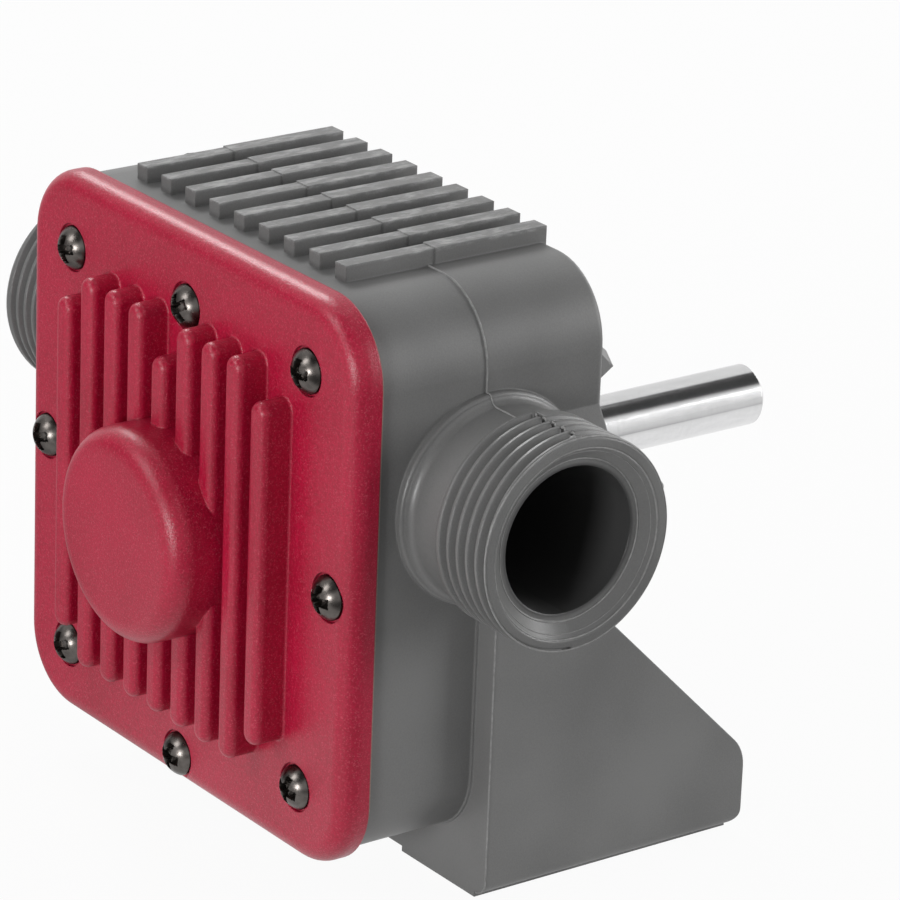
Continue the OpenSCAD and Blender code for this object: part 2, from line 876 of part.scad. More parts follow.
// Hard insert of the impeller, slotted from the rear for the cross pin
module impeller_hub() {
    slot_half_w = pin_r + running_gap;
    color([0.78, 0.62, 0.3]) placed()
    at_shaft() difference() {
        ring_y(insert_r - press_gap, shaft_r + running_gap, insert_front, insert_rear);
        translate([0, pin_y, -insert_r - over]) cylinder(r = slot_half_w, h = 2 * (insert_r + over));
        translate([-slot_half_w, pin_y, -insert_r - over])
            cube([2 * slot_half_w, insert_rear - pin_y + over, 2 * (insert_r + over)]);
    }
}

// One vane along +X: a root block, a blade and the bead along its tip
module vane_outline() {
    bead_x = vane_tip_r - vane_bead_r;
    root_x = impeller_hub_r + vane_root_t / 2;
    translate([0, -vane_t / 2]) square([bead_x, vane_t]);
    translate([bead_x, 0]) circle(vane_bead_r);
    polygon([
        [0, -impeller_hub_r / 2],
        [impeller_hub_r, -vane_root_t / 2],
        [root_x, -vane_t / 2],
        [root_x, vane_t / 2],
        [impeller_hub_r, vane_root_t / 2],
        [0, impeller_hub_r / 2]
    ]);
}

module impeller() {
    color([0.13, 0.13, 0.13]) placed()
    at_shaft() difference() {
        along_y(impeller_front, impeller_rear) {
            circle(impeller_hub_r);
            for (i = [0 : vanes - 1]) rotate(vane_turn + i * 360 / vanes) vane_outline();
        }
        bar_y(insert_r, impeller_front - over, impeller_rear + over);
    }
}

// Snap ring in a groove of the shaft, with two lugs beside its gap
module circlip(y0) {
    r_in = shaft_r - clip_groove_depth + running_gap;
    lug_turn = clip_gap_angle / 2 + asin(clip_lug_r / (r_in + clip_lug_r));
    color([0.35, 0.35, 0.37]) placed()
    at_shaft() translate([0, y0, 0]) difference() {
        union() {
            bar_y(r_in + clip_w, 0, clip_t);
            for (side = [-1, 1]) rotate([0, side * lug_turn, 0])
                translate([0, 0, r_in + clip_lug_r]) bar_y(clip_lug_r, 0, clip_t);
        }
        bar_y(r_in, -over, clip_t + over);
        along_y(-over, clip_t + over)
            polygon([
                [0, 0],
                [-2 * insert_r * sin(clip_gap_angle / 2), 2 * insert_r * cos(clip_gap_angle / 2)],
                [2 * insert_r * sin(clip_gap_angle / 2), 2 * insert_r * cos(clip_gap_angle / 2)]
            ]);
        for (side = [-1, 1]) rotate([0, side * lug_turn, 0])
            translate([0, 0, r_in + clip_lug_r]) bar_y(clip_eye_r, -over, clip_t + over);
    }
}

module front_circlip() {
    circlip(front_clip_y);
}

module rear_circlip() {
    circlip(rear_clip_y);
}

module rear_thrust_washer() {
    color([0.75, 0.75, 0.77]) placed()
    at_shaft() ring_y(washer_r, shaft_r + running_gap, washer_y, washer_y + washer_t);
}

housing();
front_cover();
cover_gasket();
cover_screws();
front_bush();
front_thrust_disc();
front_wear_plate();
rear_wear_plate();
seal_case();
seal_lip();
seal_spring();
rear_bush();
drive_shaft();
drive_pin();
impeller_hub();
impeller();
front_circlip();
rear_circlip();
rear_thrust_washer();
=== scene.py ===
import bpy
import numpy as np
from mathutils import Matrix, Vector


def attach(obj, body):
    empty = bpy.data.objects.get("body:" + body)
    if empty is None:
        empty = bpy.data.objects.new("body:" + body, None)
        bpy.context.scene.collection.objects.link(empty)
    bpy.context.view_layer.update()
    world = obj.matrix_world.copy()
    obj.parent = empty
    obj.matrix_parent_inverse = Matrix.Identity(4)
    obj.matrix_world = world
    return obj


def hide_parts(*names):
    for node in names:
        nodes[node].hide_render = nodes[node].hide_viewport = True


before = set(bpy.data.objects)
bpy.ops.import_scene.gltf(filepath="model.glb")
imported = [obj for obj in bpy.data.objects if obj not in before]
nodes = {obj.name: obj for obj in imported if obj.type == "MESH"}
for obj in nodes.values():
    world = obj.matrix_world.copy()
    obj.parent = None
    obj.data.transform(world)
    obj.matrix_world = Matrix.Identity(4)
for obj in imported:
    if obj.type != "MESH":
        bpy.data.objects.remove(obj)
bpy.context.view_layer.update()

# Camera
# A long lens looks down on the pump from its front right, from about two thirds of a metre.
# It leans by two degrees.
CAMERA_PLACE = Vector((0.48661, -0.36284, 0.27579))
CAMERA_FORWARD = Vector((-0.747336, 0.558757, -0.359556))
CAMERA_RIGHT = Vector((0.587179, 0.808647, 0.036203))
LENS_MM = 208.45
SENSOR_MM = 36.0
SIGHT_FROM = 0.01
SIGHT_TO = 20.0

camera_up = CAMERA_RIGHT.cross(CAMERA_FORWARD)
facing = Matrix((CAMERA_RIGHT, camera_up, -CAMERA_FORWARD)).transposed()
camera = bpy.data.objects.new("camera", bpy.data.cameras.new("camera"))
camera.matrix_world = Matrix.Translation(CAMERA_PLACE) @ facing.to_4x4()
camera.data.lens = LENS_MM
camera.data.sensor_width = SENSOR_MM
camera.data.clip_start = SIGHT_FROM
camera.data.clip_end = SIGHT_TO
bpy.context.scene.collection.objects.link(camera)
bpy.context.scene.camera = camera
bpy.context.scene.view_settings.view_transform = "Standard"

# Housing
# One moulding in grey glass-filled plastic: the case, its ports, the foot and the rear bearing.
# The mould leaves a fine matte grain on the case and a polish on the ports; the rib tops carry paler
# streaks. Inside each port's bore the grey is darkened, a painted shade.
MM = 0.001


class Flow:
    """What a node's socket carries; sums, differences and products on it add Math nodes."""

    def __init__(self, wiring, socket):
        self.wiring = wiring
        self.socket = socket

    def __add__(self, other):
        return self.wiring.math("ADD", self, other)

    def __sub__(self, other):
        return self.wiring.math("SUBTRACT", self, other)

    def __mul__(self, other):
        return self.wiring.math("MULTIPLY", self, other)

    def __rsub__(self, other):
        return self.wiring.math("SUBTRACT", other, self)

    __radd__ = __add__
    __rmul__ = __mul__


class Wiring:
    """A node tree being written, for a finish or for the room."""

    def __init__(self, tree):
        self.tree = tree

    def node(self, kind, settings=None, sockets=None, out=0):
        """Any node: its type, its settings, the values or flows of its sockets, and the output used."""
        made = self.tree.nodes.new(kind)
        for key, value in (settings or {}).items():
            setattr(made, key, value)
        for key, value in (sockets or {}).items():
            self.link(made.inputs[key], value)
        return Flow(self, made.outputs[out])

    def link(self, socket, value):
        """Leads a flow into a socket, or sets the socket's own value."""
        if isinstance(value, Flow):
            self.tree.links.new(value.socket, socket)
        else:
            socket.default_value = value

    def math(self, operation, a, b=0.0):
        """One Math node on two numbers or flows."""
        return self.node("ShaderNodeMath", {"operation": operation}, {0: a, 1: b})

    def place(self):
        """Object coordinates, in metres from the pump's origin."""
        return self.node("ShaderNodeTexCoord", out="Object")

    def part(self, vector, axis):
        """One of a vector's numbers, named X, Y or Z."""
        return self.node("ShaderNodeSeparateXYZ", {}, {"Vector": vector}, out=axis)

    def stretched(self, scale):
        """Object coordinates with each axis scaled, so a pattern runs long where the scale is small."""
        return self.node("ShaderNodeMapping", {}, {"Vector": self.place(), "Scale": scale})

    def noise(self, per_mm, detail=2.0, roughness=0.5, place=None):
        """Even noise whose cells are about 1 / per_mm across, from 0 to 1."""
        sockets = {"Vector": place or self.place(), "Scale": per_mm / MM, "Detail": detail}
        sockets["Roughness"] = roughness
        return self.node("ShaderNodeTexNoise", {}, sockets)

    def step(self, value, low, high, to_low=0.0, to_high=1.0):
        """A smooth rise from to_low to to_high while the value goes from low to high."""
        sockets = {"Value": value, "From Min": low, "From Max": high}
        sockets.update({"To Min": to_low, "To Max": to_high})
        return self.node("ShaderNodeMapRange", {"interpolation_type": "SMOOTHSTEP"}, sockets)

    def mix(self, share, a, b):
        """A colour between a and b."""
        return self.node("ShaderNodeMix", {"data_type": "RGBA"}, {0: share, 6: a, 7: b}, out=2)


class Finish(Wiring):
    """A material being written: one Principled shader, and the nodes that feed it."""

    def __init__(self, name, **sockets):
        self.material = bpy.data.materials.new(name)
        self.material.use_nodes = True
        super().__init__(self.material.node_tree)
        self.shader = self.tree.nodes["Principled BSDF"]
        for socket, value in sockets.items():
            self.shader.inputs[socket.replace("_", " ")].default_value = value

    def bump(self, height, depth_mm, soft_mm=0.0):
        """Raises the surface by depth_mm where the height is 1, over edges rounded by soft_mm."""
        sockets = {"Height": height, "Distance": depth_mm * MM, "Strength": 1.0}
        if soft_mm:
            sockets["Normal"] = self.node("ShaderNodeBevel", {"samples": 6}, {"Radius": soft_mm * MM})
        self.link(self.shader.inputs["Normal"], self.node("ShaderNodeBump", {}, sockets))

    def feed(self, **sockets):
        """Leads flows into the shader's sockets, by their names with an underscore for each space."""
        for key, value in sockets.items():
            self.link(self.shader.inputs[key.replace("_", " ")], value)


def dress(node, finish):
    """Gives a CAD node its finish."""
    nodes[node].data.materials.clear()
    nodes[node].data.materials.append(finish.material)


PORT_PLANE_Y = -0.019025
PORT_AXIS_Z = 0.05125
POLISHED_R = (0.0138, 0.0142)
POLISHED_FROM_X = (0.0348, 0.0352)
BORE_EDGE_R = (0.0091, 0.0096)
RIB_TOP_Z = (0.07785, 0.07835)
GREY_GRAIN = 0.014
GREY_EDGE_SOFT = 0.35
STREAK_SHARE = (0.42, 0.72)
GREY_DARK = (0.12, 0.12, 0.119, 1)
GREY_LIGHT = (0.18, 0.18, 0.178, 1)
GREY_STREAK = (0.36, 0.36, 0.357, 1)
GREY_BORE_PAINTED_SHADE = (0.055, 0.055, 0.055, 1)

grey = Finish("housing_grey", Metallic=0.0, Specular_IOR_Level=0.5)
grain = grey.noise(5.0, 3.0, 0.6)
cloud = grey.noise(0.05, 2.0)
off_axis_sockets = {0: grey.place(), 1: (0.0, -PORT_PLANE_Y, -PORT_AXIS_Z)}
off_axis = grey.node("ShaderNodeVectorMath", {"operation": "ADD"}, off_axis_sockets)
across_sockets = {0: off_axis, 1: (0.0, 1.0, 1.0)}
across_axis = grey.node("ShaderNodeVectorMath", {"operation": "MULTIPLY"}, across_sockets)
axis_gap = grey.node("ShaderNodeVectorMath", {"operation": "LENGTH"}, {0: across_axis}, out="Value")
outward = grey.math("ABSOLUTE", grey.part(grey.place(), "X"))
polished = grey.step(axis_gap, *POLISHED_R, 1.0, 0.0) * grey.step(outward, *POLISHED_FROM_X)
# Painted shade: inside each port's bore the grey is painted near black, standing in for the shade deep
# in the hole.
bore_painted_shade = grey.step(axis_gap, *BORE_EDGE_R, 1.0, 0.0)
on_ribs = grey.step(grey.part(grey.place(), "Z"), *RIB_TOP_Z)
# Paler streaked patches on the rib tops only, which the bump also raises a little.
streak_noise = grey.noise(0.9, 4.0, 0.65, grey.stretched((1.0, 0.35, 1.0)))
rib_top_streaks = grey.step(streak_noise, *STREAK_SHARE) * on_ribs
tone = grey.mix(grey.step(cloud + grain * 0.5, 0.4, 1.05), GREY_DARK, GREY_LIGHT)
grey.feed(
    Base_Color=grey.mix(bore_painted_shade, grey.mix(rib_top_streaks * 0.8, tone, GREY_STREAK), GREY_BORE_PAINTED_SHADE),
    Roughness=0.43 - polished * 0.12 + grain * 0.08,
)
grey.bump(grain * (1.0 - polished * 0.8) + rib_top_streaks * 0.6, GREY_GRAIN, GREY_EDGE_SOFT)
dress("housing", grey)

# Parting-line flash
# A hair of the same plastic that the mould's two halves squeeze out where they meet: over the case,
# the collars and the thread, and down the foot's front edges. Its grey is painted paler than the
# case's, a painted highlight for the light that its thin ridge catches.
SHARP_FROM = 38.0
FLASH_WIDE = 0.2
FLASH_TOP_SHARE = 0.56
FLASH_PROUD = 0.11
FLASH_WAVE_SHARE = 0.25
FLASH_WAVES = (2.1, 0.77)
FLASH_SUNK = 0.08
FLASH_DULL = (0.13, 0.13, 0.13, 1)
FLASH_PAINTED_HIGHLIGHT = (0.34, 0.34, 0.335, 1)


def closed_skin(name, rings, hoop=False):
    """Closed skins through loops of points: rings[p, i] is loop i of skin p, and each loop joins the
    next by one face between neighbouring points. A hoop's last loop joins its first; any other skin is
    closed by a point at the mean of each end loop. All faces are turned if the volume is negative."""
    skins, rows, cols, _ = rings.shape
    index = np.arange(skins * rows * cols).reshape(skins, rows, cols)
    points = rings.reshape(-1, 3)
    if hoop:
        index = np.concatenate([index, index[:, :1]], axis=1)
    after = np.roll(index, -1, axis=2)
    quads = np.stack([index[:, :-1], after[:, :-1], after[:, 1:], index[:, 1:]], -1).reshape(-1, 4)
    faces = [quads]
    if not hoop:
        tips = np.repeat((index.size + np.arange(2 * skins)).reshape(skins, 2, 1), cols, axis=2)
        faces.append(np.stack([after[:, 0], index[:, 0], tips[:, 0]], -1).reshape(-1, 3))
        faces.append(np.stack([index[:, -1], after[:, -1], tips[:, 1]], -1).reshape(-1, 3))
        points = np.concatenate([points, rings[:, [0, -1]].mean(2).reshape(-1, 3)])
    points = points * MM
    corners = np.concatenate([quads[:, :3], quads[:, [0, 2, 3]], *faces[1:]])
    a, b, c = points[corners[:, 0]], points[corners[:, 1]], points[corners[:, 2]]
    volume = np.einsum("ij,ij->", a, np.cross(b, c))
    if volume < 0:
        faces = [part[:, ::-1] for part in faces]
    mesh = bpy.data.meshes.new(name)
    mesh.from_pydata(points.tolist(), [], [face for part in faces for face in part.tolist()])
    mesh.polygons.foreach_set("use_smooth", np.ones(len(mesh.polygons), bool))
    mesh.set_sharp_from_angle(angle=np.radians(SHARP_FROM))
    piece = bpy.data.objects.new(name, mesh)
    bpy.context.scene.collection.objects.link(piece)
    return piece


def arc(centre, radius, start, end, count=9):
    """Points of an arc: centre plus radius times the cosine and sine of evenly spaced angles."""
    angle = np.radians(np.linspace(start, end, count))
    return np.stack([centre[0] + radius * np.cos(angle), centre[1] + radius * np.sin(angle)], -1)


def bead(path, y, count=160):
    """A thin ridge along a path in X and Z at one y. The path is resampled to equal steps; the ridge's
    section is a trapezium on the path's left normal, its height waved by two sines of the distance."""
    path = np.concatenate([np.atleast_2d(part) for part in path])
    run = np.concatenate([[0.0], np.cumsum(np.linalg.norm(np.diff(path, axis=0), axis=1))])
    at = np.linspace(0.0, run[-1], count)
    middle = np.stack([np.interp(at, run, path[:, 0]), np.interp(at, run, path[:, 1])], -1)
    along = np.gradient(middle, axis=0)
    along /= np.linalg.norm(along, axis=1, keepdims=True)
    out = np.stack([-along[:, 1], along[:, 0]], -1)
    wave = np.sin(FLASH_WAVES[0] * at) * np.sin(FLASH_WAVES[1] * at + 1.0)
    proud = FLASH_PROUD * (1.0 - FLASH_WAVE_SHARE + FLASH_WAVE_SHARE * wave)
    sunk = np.full(count, -FLASH_SUNK)
    side = np.array([-1.0, -FLASH_TOP_SHARE, FLASH_TOP_SHARE, 1.0]) * FLASH_WIDE / 2
    height = np.stack([sunk, proud, proud, sunk], -1)
    flat = middle[:, None, :] + out[:, None, :] * height[:, :, None]
    return np.stack([flat[..., 0], np.broadcast_to(y + side, flat.shape[:2]), flat[..., 1]], -1)


CASE_HALF_W = 34.7
CASE_TOP = 76.45
CASE_CORNER_R = 9.4
RIB_SIDE_X = 22.4
COLLAR_R = 13.3
COLLAR_END_X = 35.6
COLLAR_EDGE_R = 0.45
NECK_R = 12.06
NECK_START_X = 36.84
NECK_END_X = 42.3
PORT_END_X = 51.84
RIM_CHAMFER = 0.35
THREAD_R = 13.22
THREAD_TURNS = 5
THREAD_PITCH = 1.814
GROOVE_TOP_W = 1.374
GROOVE_ROOT_W = 0.3
STEP_FRONT = -0.92
FOOT_HALF_W = 37.96
FOOT_LOW = 0.7
FOOT_EDGE_R = 1.9
FOOT_FRONT = -0.62
port_z = PORT_AXIS_Z / MM
port_y = PORT_PLANE_Y / MM

corner_at = (CASE_HALF_W - CASE_CORNER_R, CASE_TOP - CASE_CORNER_R)
collar_turn_at = (COLLAR_END_X - COLLAR_EDGE_R, port_z + COLLAR_R - COLLAR_EDGE_R)
hollow_at = (NECK_START_X, port_z + COLLAR_R)
hollow_r = COLLAR_R - NECK_R
case_line = bead([
    (RIB_SIDE_X, CASE_TOP),
    arc(corner_at, CASE_CORNER_R, 90, 0),
    (CASE_HALF_W, port_z + COLLAR_R),
    arc(collar_turn_at, COLLAR_EDGE_R, 90, 0, 5),
    arc(hollow_at, hollow_r, 200, 270, 7),
    (NECK_END_X, port_z + NECK_R),
], port_y + STEP_FRONT)
groove_at = PORT_END_X - (np.arange(THREAD_TURNS)[::-1] + 0.5) * THREAD_PITCH
groove_half = np.array([-GROOVE_TOP_W, -GROOVE_ROOT_W, GROOVE_ROOT_W, GROOVE_TOP_W]) / 2
groove_x = groove_at[:, None] + groove_half
groove_z = port_z + np.tile([THREAD_R, NECK_R, NECK_R, THREAD_R], THREAD_TURNS)
thread_line = bead([np.stack([groove_x.ravel(), groove_z], -1)], port_y)
foot_corner_at = (FOOT_HALF_W - FOOT_EDGE_R, FOOT_LOW + FOOT_EDGE_R)
foot_line = bead([
    (FOOT_HALF_W, port_z - COLLAR_R),
    arc(foot_corner_at, FOOT_EDGE_R, 0, -90),
], port_y + FOOT_FRONT + FLASH_WIDE / 4)
right_lines = np.stack([case_line, thread_line, foot_line])
left_lines = right_lines[:, :, ::-1] * (-1, 1, 1)
flash = closed_skin("parting_flash", np.concatenate([right_lines, left_lines]))
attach(flash, "casing")
# Painted highlight: this grey is paler than the housing's, standing in for the light that thin ridges
# catch.
flash_painted_highlight = Finish("flash_grey_painted_highlight", Metallic=0.0, Specular_IOR_Level=0.5)
flash_mottle = flash_painted_highlight.noise(1.5, 3.0)
flash_painted_highlight.feed(Base_Color=flash_painted_highlight.mix(flash_mottle, FLASH_DULL, FLASH_PAINTED_HIGHLIGHT), Roughness=0.4 + flash_mottle * 0.2)
flash_painted_highlight.bump(flash_mottle, 0.01)
flash.data.materials.append(flash_painted_highlight.material)

# Rim pips
# Short blisters of the housing's plastic, left on each port's rim where the mould's vents and gate
# were trimmed off. They have the flash's paler grey, a painted highlight.
PIP_TURNS = (4.0, 178.0, 291.0)
PIP_SIZES = ((0.34, 0.5, 0.3), (0.3, 0.6, 0.22), (0.42, 0.8, 0.5))
PIP_LEAN = 0.3
PIP_END_ANGLE = 0.12


def pips(turns, sizes, count=(14, 18)):
    """Blisters on the rim. Each is an ellipsoid by two angles, with half axes along the port, along the
    rim and outwards, drawn out to one side by a share of the cosine, then turned about the port's axis
    to its place on the rim."""
    rise = np.linspace(PIP_END_ANGLE, np.pi - PIP_END_ANGLE, count[0])[None, :, None]
    round_it = np.linspace(0.0, 2 * np.pi, count[1], endpoint=False)[None, None, :]
    size = np.array(sizes)[:, None, None, :]
    lean = 1.0 + PIP_LEAN * np.cos(rise)
    axial = size[..., 0] * np.sin(rise) * np.cos(round_it) * lean
    radial = size[..., 2] * np.sin(rise) * np.sin(round_it) * lean + THREAD_R - RIM_CHAMFER / 2
    across = size[..., 1] * np.cos(rise) + 0.0 * round_it
    angle = np.radians(np.array(turns))[:, None, None]
    y = port_y - radial * np.sin(angle) + across * np.cos(angle)
    z = port_z + radial * np.cos(angle) + across * np.sin(angle)
    return np.stack([PORT_END_X - 2 * RIM_CHAMFER + axial, y, z], -1)


right_pips = pips(PIP_TURNS, PIP_SIZES)
left_pips = right_pips[:, :, ::-1] * (-1, 1, 1)
rim_pips = closed_skin("rim_pips", np.concatenate([right_pips, left_pips]))
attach(rim_pips, "casing")
# The pips take the flash's paler grey, a painted highlight.
rim_pips.data.materials.append(flash_painted_highlight.material)

# Rim ridges
# Fine ridges that the mould's joints leave round the mouth of each port: on the outer chamfer, down
# the dish, and at the mouth of the bore. Like the flash, they are painted paler, a painted highlight.
RIDGES = (
    (51.665, 13.045, 0.12),
    (51.69, 11.72, 0.12),
    (51.25, 11.18, 0.06),
    (50.28, 9.99, 0.11),
    (50.0, 9.55, 0.07),
)
RIDGE_WANDER = 0.02


def ridges(places, count=(160, 10)):
    """Rings about the port's axis, from each one's x, radius and half width: a circle of the half width
    is carried round the axis at that radius, which wanders with two sines of the angle."""
    x, radius, half = np.array(places).T[:, :, None, None]
    turn = np.linspace(0.0, 2 * np.pi, count[0], endpoint=False)[None, :, None]
    round_it = np.linspace(0.0, 2 * np.pi, count[1], endpoint=False)[None, None, :]
    wander = RIDGE_WANDER * np.sin(3 * turn + radius) * np.sin(7 * turn)
    out = radius + wander + half * np.cos(round_it)
    along = x + half * np.sin(round_it) + 0.0 * turn
    return np.stack([along, port_y + out * np.sin(turn), port_z + out * np.cos(turn)], -1)


right_ridges = ridges(RIDGES)
left_ridges = right_ridges[:, :, ::-1] * (-1, 1, 1)
rim_ridges = closed_skin("rim_ridges", np.concatenate([right_ridges, left_ridges]), hoop=True)
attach(rim_ridges, "casing")
# The ridges take the flash's paler grey, a painted highlight.
rim_ridges.data.materials.append(flash_painted_highlight.material)

# Cover gasket
# A thin sheet of pale fibre between the case and the cover, of which only the edge shows.
# It is punched from a roll, and is dulled by dust along that edge.
FIBRE_DULL = (0.2, 0.17, 0.15, 1)
FIBRE_PALE = (0.42, 0.36, 0.32, 1)
fibre = Finish("gasket_fibre", Roughness=0.9, Specular_IOR_Level=0.2)
speck = fibre.noise(3.0, 3.0)
fibre.feed(Base_Color=fibre.mix(speck, FIBRE_DULL, FIBRE_PALE))
fibre.bump(speck, 0.02)
dress("cover_gasket", fibre)

# Front cover
# A crimson moulding with a satin skin of fine pebble grain and pale flecks.
# Eight screws clamp it over the pumping chamber.
CRIMSON_DEEP = (0.28, 0.002, 0.02, 1)
CRIMSON = (0.45, 0.005, 0.042, 1)
CRIMSON_FLECK = (0.8, 0.16, 0.22, 1)
FLECKS_PER_M = 7500.0
FLECK_SHARE = (0.8, 1.0)
CRIMSON_GRAIN = 0.045
CRIMSON_EDGE_SOFT = 0.25
crimson = Finish("cover_crimson", Metallic=0.0, Specular_IOR_Level=0.45)
pebble = crimson.noise(3.6, 3.0, 0.6)
fleck_sockets = {"Vector": crimson.place(), "Scale": FLECKS_PER_M}
fleck_cell = crimson.node("ShaderNodeTexVoronoi", {"feature": "F1"}, fleck_sockets, out="Color")
fleck = crimson.step(crimson.part(fleck_cell, "X"), *FLECK_SHARE)
brighter = crimson.step(crimson.noise(0.08, 2.0) * 0.4 + pebble, 0.4, 1.0)
crimson_tone = crimson.mix(brighter, CRIMSON_DEEP, CRIMSON)
crimson.feed(
    Base_Color=crimson.mix(fleck * 0.25, crimson_tone, CRIMSON_FLECK),
    Roughness=0.31 - fleck * 0.02 + pebble * 0.06,
)
crimson.bump(pebble + fleck * 0.4, CRIMSON_GRAIN, CRIMSON_EDGE_SOFT)
dress("front_cover", crimson)

# Cover screws
# Eight self-tapping screws with domed heads and cross recesses, blackened and oiled, driven through
# the cover and gasket into the case.
HEAD_R = 2.75
HEAD_DOME_H = 1.7
HEAD_RIM_H = 0.4
SEAT_Y = -38.525
CASE_MIDDLE_Z = 41.35
SCREW_AT = (
    (25.3, 26.35), (-25.3, 26.35), (25.3, -26.35), (-25.3, -26.35),
    (30.7, 0.0), (-30.7, 0.0), (0.0, 26.5), (0.0, -31.8),
)
SCREW_TURNS = (4.0, 12.0, -14.0, 21.0, -3.0, 16.0, 33.0, -9.0)
CROSS_HALF_W = 0.5
CROSS_HALF_LEN = 1.65
CROSS_WALL = 0.15
CROSS_DEPTH = 1.45
CROSS_SHALLOWER = 0.42
EDGE_ROUND = 0.06
MIDDLE_R = 0.07
DOME_SHORT = 0.04
SHANK_FROM = 0.05
CORE_R = 1.1
SCREW_THREAD_R = 1.44
SCREW_PITCH = 1.3
CREST_STEEP = 2.2
CREST_CUT = 1.2
SCREW_LEN = 14.0
TIP_H = 1.8
TIP_R = 0.3
TIP_SHORT = 0.2
SCREW_DARK = (0.055, 0.048, 0.044, 1)
SCREW_WORN = (0.17, 0.155, 0.145, 1)


def screw_rings(places, turns, cols=72, dome_rows=34, shank_rows=64, tip_rows=6):
    """Screws with their heads forward, at places in X and Z from the case's middle. The meridian runs
    over the dome, round the rim, under the head and down the shank; the recess sinks the dome by a
    depth that fades across the edge of a cross, and the thread swells the shank by a triangular wave
    of the depth less the turn."""
    dome_r = (HEAD_R**2 + HEAD_DOME_H**2) / (2 * HEAD_DOME_H)
    r_dome = np.linspace(MIDDLE_R, HEAD_R - DOME_SHORT, dome_rows)
    y_dome = dome_r - np.sqrt(dome_r**2 - r_dome**2) - HEAD_DOME_H - HEAD_RIM_H
    r_rim = np.array([HEAD_R, HEAD_R, HEAD_R - EDGE_ROUND, SCREW_THREAD_R])
    y_rim = np.array([-HEAD_RIM_H, -EDGE_ROUND, 0.0, 0.0])
    y_shank = np.linspace(SHANK_FROM, SCREW_LEN - TIP_H, shank_rows)
    y_tip = np.linspace(SCREW_LEN - TIP_H + TIP_SHORT, SCREW_LEN, tip_rows)
    r_tip = np.linspace(CORE_R, TIP_R, tip_rows)
    radius = np.concatenate([r_dome, r_rim, np.full(shank_rows, CORE_R), r_tip])[None, :, None]
    depth = np.concatenate([y_dome, y_rim, y_shank, y_tip])[None, :, None]
    angle = np.linspace(0.0, 2 * np.pi, cols, endpoint=False)[None, None, :]
    start = np.radians(np.array(turns))[:, None, None]
    u = np.abs(radius * np.cos(angle - start))
    w = np.abs(radius * np.sin(angle - start))
    beyond = np.minimum(
        np.maximum(u - CROSS_HALF_W, w - CROSS_HALF_LEN),
        np.maximum(w - CROSS_HALF_W, u - CROSS_HALF_LEN),
    )
    inside = np.clip(0.5 - beyond / CROSS_WALL, 0.0, 1.0)
    floor_depth = CROSS_DEPTH * (1.0 - CROSS_SHALLOWER * radius / CROSS_HALF_LEN)
    sunk = floor_depth * inside**2 * (3.0 - 2.0 * inside)
    depth_all = depth + np.where(depth < -HEAD_RIM_H, sunk, 0.0)
    wave = np.abs((depth / SCREW_PITCH - angle / (2 * np.pi)) % 1.0 - 0.5) * 2.0
    crest = np.clip(wave * CREST_STEEP - CREST_CUT, 0.0, 1.0) * (SCREW_THREAD_R - CORE_R)
    threaded = (depth > 0.0) & (depth <= SCREW_LEN - TIP_H)
    swollen = radius + np.where(threaded, crest, 0.0) + 0.0 * start
    spots = np.array(places)
    x = swollen * np.cos(angle) + spots[:, 0, None, None]
    z = swollen * np.sin(angle) + spots[:, 1, None, None] + CASE_MIDDLE_Z
    return np.stack([x, SEAT_Y + depth_all + 0.0 * x, z], -1)


screws = closed_skin("cover_screw_set", screw_rings(SCREW_AT, SCREW_TURNS))
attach(screws, "casing")
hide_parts("cover_screws")
black_steel = Finish("screw_black", Metallic=1.0)
smear = black_steel.noise(1.2, 3.0)
black_steel.feed(
    Base_Color=black_steel.mix(smear, SCREW_DARK, SCREW_WORN),
    Roughness=0.22 + smear * 0.12,
)
black_steel.bump(smear, 0.006)
screws.data.materials.append(black_steel.material)

# Drive shaft and cross pin
# Ground bright steel, pushed through the bushes; the grinding leaves fine rings round the shaft,
# and handling leaves it faintly mottled.
STEEL_LOW = (0.6, 0.6, 0.605, 1)
STEEL_HIGH = (0.84, 0.84, 0.845, 1)
bright = Finish("shaft_bright", Metallic=1.0)
rings = bright.noise(9.0, 2.0, 0.6, bright.stretched((0.02, 1.0, 0.02)))
mottle = bright.noise(0.9, 4.0, 0.6, bright.stretched((1.0, 0.3, 1.0)))
bright.feed(
    Base_Color=bright.mix(rings * 0.4 + mottle * 0.6, STEEL_LOW, STEEL_HIGH),
    Roughness=0.09 + rings * 0.05 + mottle * 0.06,
)
bright.bump(rings * 0.5 + mottle, 0.0012, 0.1)
dress("drive_shaft", bright)
dress("drive_pin", bright)

# Bushes
# Sintered bronze, pressed into the nose and the rear boss and soaked in oil.
# The open pores show as dark specks.
BRONZE_OILY = (0.3, 0.15, 0.05, 1)
BRONZE_CLEAN = (0.55, 0.32, 0.14, 1)
bronze = Finish("bush_bronze", Metallic=1.0)
pores = bronze.noise(7.0, 3.0)
bronze.feed(Base_Color=bronze.mix(pores, BRONZE_OILY, BRONZE_CLEAN), Roughness=0.35 + pores * 0.2)
bronze.bump(pores, 0.01)
dress("front_bush", bronze)
dress("rear_bush", bronze)

